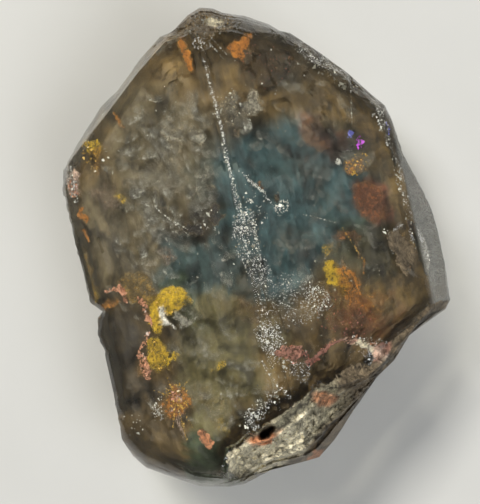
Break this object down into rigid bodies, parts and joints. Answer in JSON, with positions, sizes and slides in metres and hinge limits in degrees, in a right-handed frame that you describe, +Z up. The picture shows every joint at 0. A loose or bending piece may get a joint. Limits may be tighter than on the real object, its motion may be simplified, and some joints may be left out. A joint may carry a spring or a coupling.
{
  "type": "topaz crystal",
  "caption": "Natural prismatic topaz crystal, smoky brown with a blue-green core, lying on its flat back with a broken, iron-stained base.",
  "frame": {"origin": "centre of the bounding box's bottom face, on the surface the crystal lies on", "axes": "+Y along the crystal's length towards its pointed end, +X across it, +Z up from the flat back to the ridge"},
  "size_m": [0.0342, 0.0454, 0.0219],
  "materials": {
    "topaz": "natural crystal faces, partly etched and stained"
  },
  "bodies": {
    "root": {"topaz_crystal": "topaz"}
  },
  "joints": []
}
